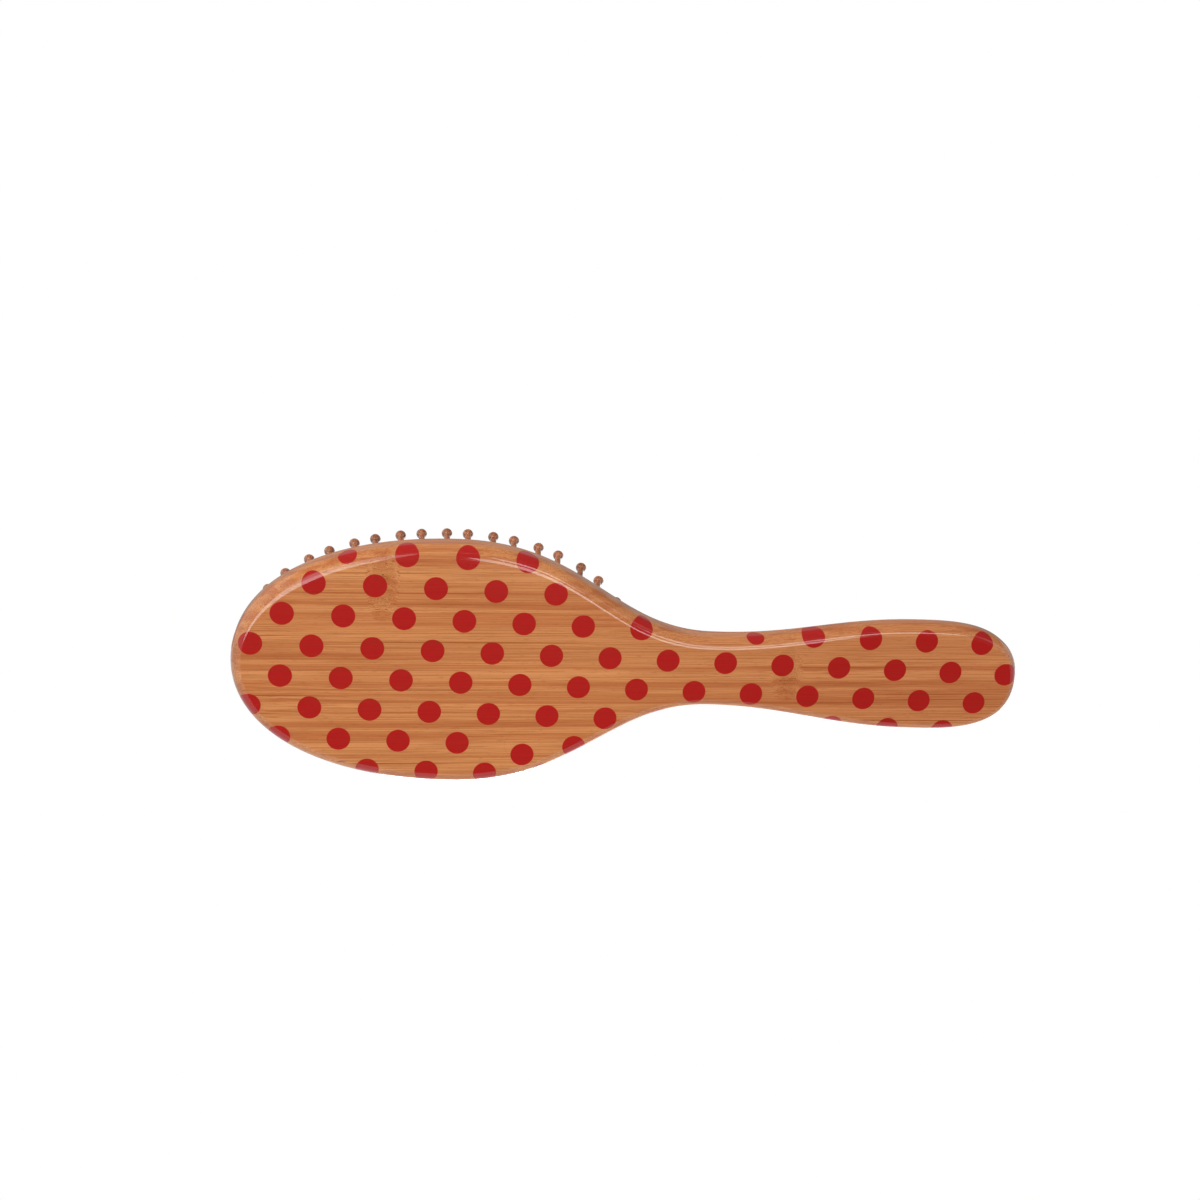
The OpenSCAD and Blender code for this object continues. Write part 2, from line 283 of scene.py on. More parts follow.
# How often a search halves its range, and how far along a pin its foot is looked for
HALVINGS = 40
FOOT_SEARCH = 20 * MM
# The most that the cushion's plan is drawn in, as a share of its half width
MOST_INSET = 1 - 1e-6
# Triangles are wanted inside the dome's rim only, and from points that stand further
# apart than this, in millimetres
INSIDE_RIM = 1
PLAN_GAP = 1e-6
# A triangle whose middle lies within this share of a hole's radius is left out, and
# this many triangles are tested at a time
HOLE_SHARE = 0.98
BATCH = 4000
# Half the width over which a dot's edge fades, and a distance past the whole brush,
# both in millimetres
DOT_FADE = 0.07
FAR_OFF = 1e6
# Millimetres from the head's widest line over which painted shade darkens the board towards the
# handle
PAINTED_SHADE_FROM, PAINTED_SHADE_TO = 20, 130
# Gap between the back and the floor
FLOOR_GAP = 0.05 * MM


# ---- curves ----

def ease(u):
    """A smooth change from 0 to 1 as u goes from 0 to 1."""
    t = np.clip(u, 0, 1)
    return t * t * (3 - 2 * t)


def bezier(p, t):
    """A point of the cubic curve p for each t, and the direction that it runs."""
    p, t = np.array(p, float), np.asarray(t)[:, None]
    s = 1 - t
    at = s**3 * p[0] + 3 * s * s * t * p[1] + 3 * s * t * t * p[2] + t**3 * p[3]
    run = s * s * (p[1] - p[0]) + 2 * s * t * (p[2] - p[1]) + t * t * (p[3] - p[2])
    return at, run


def outline_parts(b):
    """The four curves of the outline's right half, from the head end on."""
    head, neck, grip = b.head_w / 2, b.neck_w / 2, b.grip_w / 2
    taper, tail = b.grip_x - b.neck_x, b.tail_reach - b.grip_x
    hf, sf, tf, ef = b.head_full, b.shoulder_full, b.taper_full, b.tail_full
    return [
        [(-b.head_reach, 0), (-b.head_reach, head * hf[1]), (-b.head_reach * hf[0], head),
         (0, head)],
        [(0, head), (b.neck_x * sf[0], head), (b.neck_x * (1 - sf[1]), neck),
         (b.neck_x, neck)],
        [(b.neck_x, neck), (b.neck_x + taper * tf[0], neck),
         (b.grip_x - taper * tf[1], grip), (b.grip_x, grip)],
        [(b.grip_x, grip), (b.grip_x + tail * ef[0], grip),
         (b.tail_reach, grip * ef[1]), (b.tail_reach, 0)],
    ]


def outline(b):
    """Points all round the board and the outward direction at each, clockwise from above."""
    t = np.arange(OUTLINE_STEPS) / OUTLINE_STEPS
    points, runs = zip(*(bezier(part, t) for part in outline_parts(b)))
    points = np.vstack([*points, [[b.tail_reach, 0]]])
    runs = np.vstack([*runs, [[0, -1]]])
    out = np.stack([-runs[:, 1], runs[:, 0]], 1)
    out /= np.linalg.norm(out, axis=1)[:, None]
    flip = np.array([1, -1])
    return (np.vstack([points, points[-2:0:-1] * flip]),
            np.vstack([out, out[-2:0:-1] * flip]))


def board_thickness(b, c, x):
    """The board's thickness, which drops from the head to the handle."""
    start = c.reach + b.groove_in + b.front_round_in
    stop = (b.neck_x + b.grip_x) / 2
    return b.head_t + (b.grip_t - b.head_t) * ease((x - start) / (stop - start))


def back_rounding(b, c, x):
    """How far the back's rounding reaches in: it narrows from the cushion to the neck."""
    return b.back_round_in + (b.grip_round_in - b.back_round_in) * ease(
        (x - c.reach) / (b.neck_x - c.reach))


# ---- the cushion's plan and dome ----

def cushion_half_w(b):
    """Half the cushion's width."""
    return b.head_w / 2 - b.side_border


def cushion_front(b):
    """The cushion's reach from the widest line of the head to the head end."""
    return b.head_reach - b.end_border


def egg_ring(b, c, inset, steps):
    """The cushion's plan drawn in by inset: an egg whose halves have their own reach."""
    turn = 2 * np.pi * np.arange(steps) / steps
    reach = np.where(np.cos(turn) > 0, cushion_front(b), c.reach) - inset
    return np.stack([-reach * np.cos(turn), (cushion_half_w(b) - inset) * np.sin(turn)], 1)


def egg_inset(b, c, xy):
    """How far points lie in from the cushion's edge, by halving."""
    half_w = cushion_half_w(b)
    reach = np.where(xy[:, 0] < 0, cushion_front(b), c.reach)
    low, high = np.zeros(len(xy)), np.full(len(xy), half_w * MOST_INSET)
    for _ in range(HALVINGS):
        inset = (low + high) / 2
        outside = (xy[:, 0] / (reach - inset))**2 + (xy[:, 1] / (half_w - inset))**2 > 1
        low, high = np.where(outside, low, inset), np.where(outside, inset, high)
    return (low + high) / 2


def dome_height(b, c, inset):
    """Height of the dome's outside, inset from the cushion's edge."""
    rise = 1 - (1 - inset / cushion_half_w(b))**2
    return b.head_t + c.edge_h + c.dome_h * rise


# ---- meshes ----

def new_piece(name, verts, faces, material, sharp=SHARP):
    """A smooth mesh object in the frame, with its creases drawn sharp."""
    mesh = bpy.data.meshes.new(name)
    mesh.from_pydata([tuple(v) for v in verts], [], [tuple(f) for f in faces])
    made = bmesh.new()
    made.from_mesh(mesh)
    bmesh.ops.remove_doubles(made, verts=made.verts, dist=SAME_POINT)
    bmesh.ops.recalc_face_normals(made, faces=made.faces)
    made.to_mesh(mesh)
    made.free()
    mesh.shade_smooth()
    mesh.set_sharp_from_angle(angle=sharp)
    mesh.materials.append(material)
    piece = bpy.data.objects.new(name, mesh)
    bpy.context.scene.collection.objects.link(piece)
    return piece


def with_height(xy, z):
    """Points in plan lifted to a height, or to a height for each."""
    return np.column_stack([xy, np.broadcast_to(z, len(xy))])


def band(first, second, count):
    """Quads between two closed rings that start at these vertex numbers."""
    return [(first + j, first + (j + 1) % count, second + (j + 1) % count, second + j)
            for j in range(count)]


def strips_across(start, count, first, last):
    """Faces across a ring that is its own mirror image, from one pair to another."""
    faces = []
    for j in range(first, last):
        corners = [j, j + 1, (count - j - 1) % count, (count - j) % count]
        faces.append([start + k for k in dict.fromkeys(corners)])
    return faces


def board_rings(b, c, plan, out):
    """Rings over the board's edge: from the flat back over both roundings to the front."""
    top = board_thickness(b, c, plan[:, 0])
    back_in = back_rounding(b, c, plan[:, 0])[:, None] * out
    rings = [with_height(plan - back_in - FLAT_EDGE * out, 0)]
    for a in np.linspace(0, np.pi / 2, BACK_STEPS + 1):
        rings.append(with_height(plan - (1 - math.sin(a)) * back_in,
                                 b.back_round_up * (1 - math.cos(a))))
    for a in np.linspace(0, np.pi / 2, FRONT_STEPS + 1):
        rings.append(with_height(plan - b.front_round_in * (1 - math.cos(a)) * out,
                                 top - b.front_round_up * (1 - math.sin(a))))
    rings.append(with_height(plan - (b.front_round_in + FLAT_EDGE) * out, top))
    return rings


def pocket_rings(b, c, count):
    """Rings down the pocket: the mouth's bevel, the lip, the groove under it, the floor."""
    groove = b.groove_in + b.seat_gap
    groove_top = b.pocket_floor + b.groove_h
    profile = (
        (b.seat_gap + b.lip_bevel, b.head_t),
        (b.seat_gap, b.head_t - b.lip_bevel),
        (b.seat_gap, groove_top),
        (groove, groove_top),
        (groove, b.pocket_floor),
    )
    return [with_height(egg_ring(b, c, -inset, count), z) for inset, z in profile]


def mouth_faces(front, count, mouth, mouth_count):
    """Faces of the front between the board's edge and the shorter ring of the mouth."""
    faces = []
    split = mouth_count // 2
    for j in range(split):
        faces.append((front + j, front + j + 1, mouth + j + 1, mouth + j))
        left, next_left = [(count - i) % count for i in (j, j + 1)]
        inner, next_inner = [(mouth_count - i) % mouth_count for i in (j, j + 1)]
        faces.append((front + left, front + next_left, mouth + next_inner, mouth + inner))
    faces.append((front + split, front + count - split, mouth + split))
    return faces


def board_mesh(b, c):
    """The board's vertices and faces: roundings, flat back, front and pocket."""
    plan, out = outline(b)
    count = len(plan)
    half = count // 2
    rings = board_rings(b, c, plan, out)
    faces = []
    for k in range(len(rings) - 1):
        faces += band(k * count, (k + 1) * count, count)
    faces += strips_across(0, count, 0, half)

    # The front is a ring round the pocket's mouth and strips across the handle
    front = (len(rings) - 1) * count
    flat_to = c.reach + b.groove_in + b.front_round_in
    split = int(np.searchsorted(rings[-1][:half, 0], flat_to)) - 1
    faces += strips_across(front, count, split, half)
    mouth, mouth_count = len(rings) * count, 2 * split
    pocket = pocket_rings(b, c, mouth_count)
    faces += mouth_faces(front, count, mouth, mouth_count)
    for k in range(len(pocket) - 1):
        faces += band(mouth + k * mouth_count, mouth + (k + 1) * mouth_count, mouth_count)
    faces += strips_across(mouth + (len(pocket) - 1) * mouth_count, mouth_count, 0, split)
    return np.vstack(rings + pocket), faces


def pin_axes():
    """The middle and the direction of every pin, read off the frame's own pins."""
    axes = []
    for name in PIN_NODES:
        loose = bmesh.new()
        loose.from_mesh(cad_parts[name].data)
        bmesh.ops.remove_doubles(loose, verts=loose.verts, dist=SAME_PIN_POINT)
        # A pin's points are taken in a fixed order, so that every run gives the same
        left = dict.fromkeys(loose.verts)
        while left:
            pin = [left.popitem()[0]]
            for vert in pin:
                for link in vert.link_edges:
                    other = link.other_vert(vert)
                    if other in left:
                        del left[other]
                        pin.append(other)
            points = np.array([v.co for v in pin])
            middle = points.mean(0)
            direction = np.linalg.svd(points - middle, full_matrices=False)[2][0]
            axes.append((middle, direction * np.sign(direction[2])))
        loose.free()
    return axes


def pin_feet(b, c):
    """Where each pin's axis meets the dome, with the axis."""
    feet = []
    for middle, direction in pin_axes():
        low, high = -FOOT_SEARCH, FOOT_SEARCH
        for _ in range(HALVINGS):
            reach = (low + high) / 2
            at = middle + reach * direction
            skin = dome_height(b, c, egg_inset(b, c, at[None, :2]))[0]
            low, high = (reach, high) if at[2] < skin else (low, reach)
        feet.append((middle + low * direction, direction))
    return feet


def collar_radii(c):
    """Radii at which a collar has a ring of points, from its hole to its foot."""
    wall, slope = c.collar_r + c.collar_wall, c.collar_wall + c.collar_slope
    return [c.hole_r, c.collar_r - COLLAR_DROP, c.collar_r - COLLAR_DROP / 2, c.collar_r,
            *np.linspace(wall, c.collar_r + slope, COLLAR_STEPS)]


def collar_rise(c, r):
    """Height of a collar above the dome at a distance from its pin."""
    inside = ease((r - c.collar_r + COLLAR_DROP) / COLLAR_DROP)
    outside = ease((c.collar_r + c.collar_wall + c.collar_slope - r) / c.collar_slope)
    return c.collar_h * inside * outside


def dome_edge(b, c):
    """Vertices and faces of the dome's rounded edge, from the board's face up."""
    foot, tangent = dome_height(b, c, c.edge_h), 2 * c.dome_h / cushion_half_w(b)
    knee = foot - c.edge_h * tangent * (1 - c.edge_h / cushion_half_w(b))
    rings = []
    for t in np.linspace(0, 1, EDGE_STEPS + 1):
        z = (1 - t)**2 * b.head_t + 2 * t * (1 - t) * knee + t * t * foot
        rings.append(with_height(egg_ring(b, c, c.edge_h * t * t, CUSHION_STEPS), z))
    faces = []
    for k in range(EDGE_STEPS):
        faces += band(k * CUSHION_STEPS, (k + 1) * CUSHION_STEPS, CUSHION_STEPS)
    return np.vstack(rings), faces


def ringed_points(c, feet, vent):
    """Points in plan round each pin and the vent, with their distance from the pin."""
    turn = 2 * np.pi * np.arange(COLLAR_CORNERS) / COLLAR_CORNERS
    circles = []
    for foot_at, direction in feet:
        across = np.cross(direction, (0, 1, 0))
        across /= np.linalg.norm(across)
        along = np.cross(direction, across)
        for r in collar_radii(c):
            ring = foot_at + r * (np.outer(np.cos(turn), across) + np.outer(np.sin(turn), along))
            circles.append((ring[:, :2], np.full(len(turn), r)))
    for times in VENT_RINGS:
        ring = vent + times * c.vent_r * np.stack([np.cos(turn), np.sin(turn)], 1)
        circles.append((ring, np.full(len(turn), np.inf)))
    return np.vstack([xy for xy, r in circles]), np.concatenate([r for xy, r in circles])


def grid_points(b, c, centres):
    """Points in plan on a grid of triangles, clear of the collars and the edge."""
    row = DOME_GRID * math.sqrt(3) / 2
    gx, gy = np.meshgrid(np.arange(-cushion_front(b), c.reach, DOME_GRID),
                         np.arange(-cushion_half_w(b), cushion_half_w(b), row))
    gx += (np.arange(len(gx)) % 2)[:, None] * DOME_GRID / 2
    grid = np.stack([gx.ravel(), gy.ravel()], 1)
    grid = grid[egg_inset(b, c, grid) > c.edge_h + DOME_GRID / 2]
    gap = np.linalg.norm(grid[:, None] - centres[None], axis=2).min(1)
    return grid[gap > collar_radii(c)[-1] + DOME_GRID / 3]


def in_holes(points, centres, radii):
    """Which points in plan lie in a hole."""
    found = []
    for k in range(0, len(points), BATCH):
        gap = np.linalg.norm(points[k:k + BATCH, None] - centres[None], axis=2)
        found.append((gap < HOLE_SHARE * radii).any(1))
    return np.concatenate(found)


def dome_mesh(b, c, feet):
    """The dome's outside: a rounded edge, and a skin that carries the collars."""
    vent = np.array([(c.reach - cushion_front(b)) / 2, 0])
    centres = np.array([foot[:2] for foot, direction in feet] + [vent])
    edge_verts, faces = dome_edge(b, c)
    rim = egg_ring(b, c, c.edge_h, CUSHION_STEPS)
    ringed, distance = ringed_points(c, feet, vent)
    grid = grid_points(b, c, centres)
    plan = np.vstack([rim, ringed, grid])
    rim_edges = [(j, (j + 1) % CUSHION_STEPS) for j in range(CUSHION_STEPS)]
    found = delaunay_2d_cdt([Vector(p) for p in plan / MM], rim_edges, [], INSIDE_RIM,
                            PLAN_GAP)
    xy, triangles = np.array(found[0]) * MM, np.array(found[2])
    origin = [ids[0] if ids else 0 for ids in found[3]]
    r = np.concatenate([np.full(CUSHION_STEPS, np.inf), distance,
                        np.full(len(grid), np.inf)])[origin]
    z = dome_height(b, c, egg_inset(b, c, xy)) + collar_rise(c, r)
    holes = np.append(np.full(len(feet), c.hole_r), c.vent_r)
    kept = triangles[~in_holes(xy[triangles].mean(1), centres, holes)]
    faces += [tuple(f) for f in kept + len(edge_verts)]
    return np.vstack([edge_verts, with_height(xy, z)]), faces


def rim_mesh(b, c):
    """The cushion's wall below the board's face, and the bead in the groove."""
    bead_top = b.pocket_floor + b.groove_h - b.seat_gap
    profile = [
        (c.skin_t, b.head_t),
        (c.skin_t, b.pocket_floor),
        (BEAD_BEVEL - b.groove_in, b.pocket_floor),
        (-b.groove_in, b.pocket_floor + BEAD_BEVEL),
        (-b.groove_in, bead_top - BEAD_BEVEL),
        (BEAD_BEVEL - b.groove_in, bead_top),
        (0, bead_top),
        (0, b.head_t),
    ]
    rings = [with_height(egg_ring(b, c, inset, CUSHION_STEPS), z) for inset, z in profile]
    faces = []
    for k in range(len(rings)):
        faces += band(k * CUSHION_STEPS, (k + 1) % len(rings) * CUSHION_STEPS, CUSHION_STEPS)
    return np.vstack(rings), faces


def apply_modifiers(piece):
    """Writes what the modifiers make into the piece's own mesh."""
    graph = bpy.context.evaluated_depsgraph_get()
    final = bpy.data.meshes.new_from_object(piece.evaluated_get(graph))
    piece.modifiers.clear()
    piece.data = final


# ---- materials ----

class Tree:
    """A material's node tree, with a short call for each kind of node."""

    def __init__(self, name):
        self.material = bpy.data.materials.new(name)
        self.material.use_nodes = True
        self.nodes = self.material.node_tree.nodes
        self.links = self.material.node_tree.links
        self.shader = self.nodes["Principled BSDF"]

    def node(self, kind, inputs=(), out=0, **settings):
        """A node with its settings and inputs, and one of its outputs."""
        made = self.nodes.new(kind)
        for key, value in settings.items():
            setattr(made, key, value)
        for key, value in dict(inputs).items():
            self.put(made.inputs[key], value)
        return made.outputs[out]

    def put(self, socket, value):
        """Links a socket, or sets it to a plain value."""
        if isinstance(value, bpy.types.NodeSocket):
            self.links.new(value, socket)
        else:
            socket.default_value = value

    def math(self, operation, *values):
        """A calculation with numbers."""
        return self.node("ShaderNodeMath", dict(enumerate(values)), operation=operation)

    def vector(self, operation, *values):
        """A calculation with vectors, and its number or its vector."""
        out = "Value" if operation in ("LENGTH", "DISTANCE", "DOT_PRODUCT") else "Vector"
        return self.node("ShaderNodeVectorMath", dict(enumerate(values)), out,
                         operation=operation)

    def scaled(self, vector, scale):
        """A vector times a factor for each axis."""
        return self.vector("MULTIPLY", vector, scale)

    def noise(self, vector, detail=2.0, roughness=0.5, distortion=0.0):
        """Soft noise around a half, one cell to each unit of the vector."""
        return self.node("ShaderNodeTexNoise", {
            "Vector": vector, "Scale": 1.0, "Detail": detail, "Roughness": roughness,
            "Distortion": distortion})

    def cells(self, vector, out="Distance"):
        """The distance to the nearest of scattered points, or that point's own colour."""
        return self.node("ShaderNodeTexVoronoi", {"Vector": vector, "Scale": 1.0}, out)

    def step(self, value, low, high, start=0.0, stop=1.0):
        """A smooth change from start to stop as value goes from low to high."""
        return self.node("ShaderNodeMapRange", {
            "Value": value, "From Min": low, "From Max": high, "To Min": start,
            "To Max": stop}, interpolation_type="SMOOTHSTEP")

    def mix(self, factor, a, b, blend="MIX"):
        """Colour a turned into colour b by a factor, or multiplied with it."""
        rgba = [v if isinstance(v, bpy.types.NodeSocket) else (*v, 1) for v in (a, b)]
        return self.node("ShaderNodeMix", {0: factor, 6: rgba[0], 7: rgba[1]}, 2,
                         data_type="RGBA", blend_type=blend)

    def tint(self, base, mask, amount, other):
        """The base with an amount of another colour where the mask is 1."""
        return self.mix(self.math("MULTIPLY", mask, amount), base, other)

    def shade(self, base, mask, factors):
        """The base times a factor for each of red, green and blue where the mask is 1."""
        return self.mix(mask, base, self.mix(1.0, base, factors, "MULTIPLY"))

    def bump(self, strength, depth, height):
        """A fine relief as deep as given."""
        return self.node("ShaderNodeBump", {"Strength": strength, "Distance": depth,
                                            "Height": height})

    def frame_point(self):
        """The surface point in millimetres of the frame."""
        at = self.node("ShaderNodeTexCoord", out="Object")
        return self.scaled(at, (1 / MM,) * 3)

    def finish(self, **sockets):
        """Sets the shader's sockets, named with underscores, and returns the material."""
        for key, value in sockets.items():
            self.put(self.shader.inputs[key.replace("_", " ")], value)
        return self.material


def dot_mask(t, p, d):
    """1 inside the printed dots and 0 outside, from the point in millimetres."""
    radius = d.diameter / 2 / MM
    half = (d.half_pitch / MM, d.row_step / MM, FAR_OFF)
    cos, sin = math.cos(d.turn), math.sin(d.turn)
    from_first = t.vector("SUBTRACT", p, (d.start[0] / MM, d.start[1] / MM, 0))
    along = t.vector("DOT_PRODUCT", from_first, (cos, sin, 0))
    across = t.vector("DOT_PRODUCT", from_first, (-sin, cos, 0))
    in_rows = t.node("ShaderNodeCombineXYZ", {0: along, 1: across})
    # Every second row is moved by half a pitch
    distances = []
    for shift in ((0, 0, 0), (half[0], half[1], 0)):
        moved = t.vector("SUBTRACT", in_rows, shift)
        repeated = t.vector("WRAP", moved, half, tuple(-h for h in half))
        distances.append(t.vector("LENGTH", repeated))
    # Three places in the rows are empty, and one dot stands outside them
    flat = t.scaled(p, (1, 1, 0))
    odd, *empty = (t.vector("DISTANCE", flat, (at[0] / MM, at[1] / MM, 0))
                   for at in (d.odd_to, d.odd_from, d.bare_head, d.bare_neck))
    to_empty = t.math("MINIMUM", t.math("MINIMUM", *empty[:2]), empty[2])
    left_out = t.math("LESS_THAN", to_empty, radius)
    regular = t.math("ADD", t.math("MINIMUM", *distances),
                     t.math("MULTIPLY", left_out, radius))
    to_dot = t.math("MINIMUM", regular, odd)
    # Up the side of the board the dots run out as ovals
    climb = t.vector("LENGTH", t.scaled(p, (0, 0, 1 / d.stretch)))
    reach = t.vector("LENGTH", t.node("ShaderNodeCombineXYZ", {0: to_dot, 1: climb}))
    return t.step(reach, radius - DOT_FADE, radius + DOT_FADE, 1, 0)


def node_mark(t, p, at, reach):
    """1 at the middle of a node of the cane, falling to 0 around it."""
    off = t.scaled(t.vector("SUBTRACT", p, (at[0] / MM, at[1] / MM, 0)),
                   (1 / reach[0], 1 / reach[1], 0))
    return t.step(t.vector("LENGTH", off), 0.2, 1.0, 1, 0)


def along_fibres(t, p, look, marks):
    """The point as the fibres see it: they sway slowly, and are stirred up at the nodes."""
    turned = t.node("ShaderNodeVectorRotate", {"Vector": p, "Angle": -look.grain_turn},
                    rotation_type="Z_AXIS")
    sway = t.math("MULTIPLY", t.noise(t.scaled(p, (0.010, 0.05, 0.05)), 0), 1.2)
    stir = t.math("MULTIPLY", t.noise(t.scaled(p, (0.30, 0.45, 0.45)), 1), 3.0)
    aside = t.math("ADD", sway, t.math("MULTIPLY", marks, stir))
    return t.vector("ADD", turned, t.node("ShaderNodeCombineXYZ", {1: aside, 2: aside}))


def fibre_lines(t, bent, slow, wide):
    """1 on the dark fibre bundles, each with its own strength, and 0 between them."""
    bundle = t.scaled(bent, (slow, wide, wide))
    strength = t.node("ShaderNodeSeparateXYZ", {0: t.cells(bundle, "Color")}, "X")
    return t.math("MULTIPLY", t.step(t.cells(bundle), 0.05, 0.30, 1, 0),
                  t.step(strength, 0.1, 0.9, 0.25, 1.0))


def bamboo_material(look, dots):
    """Lacquered bamboo: fibre bundles in fine bands, a cane's nodes, the print, and painted shade
    towards the handle.
    """
    t = Tree("lacquered_bamboo")
    p = t.frame_point()
    marks = t.math("MAXIMUM", node_mark(t, p, look.head_node, (5, 14)),
                   node_mark(t, p, look.grip_node, (5, 9)))
    bent = along_fibres(t, p, look, marks)
    slow, wide = MM / look.bundle_l, MM / look.bundle_w
    lines = fibre_lines(t, bent, slow, wide)
    fine = t.noise(t.scaled(bent, (slow * 4, wide * 5.5, wide * 5.5)), 2, 0.7)
    fine_lines = t.step(fine, 0.42, 0.62)
    bands = t.noise(t.scaled(bent, (0.004, 0.42, 0.42)), 2)
    broad = t.noise(t.scaled(bent, (0.003, 0.10, 0.10)), 1)
    pores = t.noise(t.scaled(bent, (0.35, 2.6, 2.6)), 2, 0.7)
    wood = t.mix(t.step(bands, 0.38, 0.58), look.middle, look.light)
    wood = t.shade(wood, t.step(broad, 0.35, 0.65), (0.90, 0.86, 0.84))
    wood = t.tint(wood, fine_lines, 0.52, look.dark)
    wood = t.tint(wood, lines, 0.90, look.dark)
    wood = t.tint(wood, t.step(pores, 0.54, 0.74), 0.30, look.dark)
    wood = t.tint(wood, marks, 0.15, look.dark)
    blotch = t.noise(t.scaled(p, (0.9, 1.3, 1.3)), 3, 0.6)
    wood = t.tint(wood, marks, t.step(blotch, 0.58, 0.72), look.speck)

    ink = t.tint(dots.ink, fine_lines, 0.12, look.dark)
    ink = t.tint(ink, lines, 0.40, look.speck)
    surface = t.mix(dot_mask(t, p, dots), wood, ink)
    # Painted shade: the bamboo and its print are drawn darker towards the handle, where the light
    # falls off
    from_head = t.node("ShaderNodeSeparateXYZ", {0: p})
    surface = t.shade(surface, t.step(from_head, PAINTED_SHADE_FROM, PAINTED_SHADE_TO), (0.90, 0.86, 0.88))
    relief = t.math("ADD", t.math("MULTIPLY", fine, 0.6), t.math("MULTIPLY", pores, 0.4))
    return t.finish(Base_Color=surface, Roughness=t.step(fine, 0.3, 0.7, 0.46, 0.36),
                    Normal=t.bump(0.12, 0.02 * MM, relief), Specular_IOR_Level=0.0,
                    Coat_Weight=1.0, Coat_Roughness=look.lacquer_roughness, Coat_IOR=1.5)


def rubber_material(look):
    """Moulded rubber: matte, with a faint bloom and a fine tooth."""
    t = Tree("moulded_rubber")
    p = t.frame_point()
    bloom = t.noise(t.scaled(p, (0.12, 0.12, 0.12)), 4, 0.6)
    tooth = t.noise(t.scaled(p, (6, 6, 6)), 3, 0.6)
    base = t.tint(look.base, t.step(bloom, 0.35, 0.75), 0.5, look.bloom)
    return t.finish(Base_Color=base, Roughness=t.step(bloom, 0.3, 0.7, 0.50, 0.62),
                    Normal=t.bump(0.25, 0.04 * MM, tooth), Specular_IOR_Level=0.45,
                    Sheen_Weight=0.12, Sheen_Roughness=0.4)


def pin_material(look):
    """Varnished turned wood, each pin with its own tone and fine grain along it."""
    t = Tree("varnished_pin_wood")
    p = t.frame_point()
    tone = t.noise(t.scaled(p, (0.16, 0.16, 0.004)), 0)
    grain = t.noise(t.scaled(p, (3.4, 3.4, 0.35)), 4, 0.65, 0.4)
    flecks = t.noise(t.scaled(p, (6, 6, 1.1)), 2, 0.6)
    wood = t.mix(t.step(grain, 0.35, 0.68), look.light, look.dark)
    wood = t.tint(wood, t.step(flecks, 0.58, 0.72), 0.4, look.dark)
    wood = t.shade(wood, t.step(tone, 0.3, 0.7), (0.72, 0.66, 0.64))
    return t.finish(Base_Color=wood, Roughness=t.step(grain, 0.3, 0.7, 0.30, 0.42),
                    Normal=t.bump(0.2, 0.02 * MM, grain), Coat_Weight=1.0,
                    Coat_Roughness=look.varnish_roughness)


def floor_material(studio):
    """A pale floor that turns white far off, and that only shows from above."""
    t = Tree("pale_floor")
    at = t.node("ShaderNodeTexCoord", out="Object")
    far = t.step(t.vector("LENGTH", at), 0.35, 1.1)
    white = t.node("ShaderNodeEmission", {"Color": (1, 1, 1, 1), "Strength": 1.0})
    clear = t.node("ShaderNodeBsdfTransparent")
    seen = t.node("ShaderNodeMixShader", {0: far, 1: t.shader.outputs[0], 2: white})
    below = t.node("ShaderNodeNewGeometry", out="Backfacing")
    one_way = t.node("ShaderNodeMixShader", {0: below, 1: seen, 2: clear})
    t.links.new(one_way, t.nodes["Material Output"].inputs["Surface"])
    dust = t.noise(t.scaled(at, (30, 30, 30)), 3)
    tone = t.mix(dust, studio.floor_tone, [v * 0.97 for v in studio.floor_tone])
    return t.finish(Base_Color=tone, Roughness=0.9, Specular_IOR_Level=0.1,
                    Emission_Color=(1, 1, 1, 1), Emission_Strength=studio.floor_glow)


# ---- the operators ----

class BRUSH_OT_board(bpy.types.Operator):
    """Makes the bamboo board with its pocket and its printed back"""
    bl_idname = "brush.board"
    bl_label = "Bamboo board"
    bl_options = {"REGISTER", "UNDO"}

    def execute(self, context):
        scene = context.scene
        material = bamboo_material(scene.brush_bamboo, scene.brush_print)
        verts, faces = board_mesh(scene.brush_board, scene.brush_cushion)
        board = new_piece("bamboo_board", verts, faces, material)
        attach(board, "board")
        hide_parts("bamboo_body")
        return {"FINISHED"}


class BRUSH_OT_cushion(bpy.types.Operator):
    """Makes the rubber cushion: the dome that gives, and the bead in the groove"""
    bl_idname = "brush.cushion"
    bl_label = "Rubber cushion"
    bl_options = {"REGISTER", "UNDO"}

    def execute(self, context):
        scene = context.scene
        b, c = scene.brush_board, scene.brush_cushion
        material = rubber_material(scene.brush_rubber)
        feet = pin_feet(b, c)
        dome = new_piece("rubber_dome", *dome_mesh(b, c, feet), material, DOME_SHARP)
        skin = dome.modifiers.new("skin", "SOLIDIFY")
        skin.thickness = c.skin_t
        skin.offset = -1
        apply_modifiers(dome)
        rim = new_piece("rubber_bead", *rim_mesh(b, c), material)
        for piece in (dome, rim):
            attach(piece, "board")
            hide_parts("rubber_cushion")
        # The joint moves the inner ring, whose feet stand highest on the dome
        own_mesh(dome)
        return {"FINISHED"}


class BRUSH_OT_pins(bpy.types.Operator):
    """Gives the four rings of pins their varnished wood"""
    bl_idname = "brush.pins"
    bl_label = "Wooden pins"
    bl_options = {"REGISTER", "UNDO"}

    def execute(self, context):
        material = pin_material(context.scene.brush_pins)
        for name in PIN_NODES:
            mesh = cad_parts[name].data
            mesh.materials.clear()
            mesh.materials.append(material)
        return {"FINISHED"}


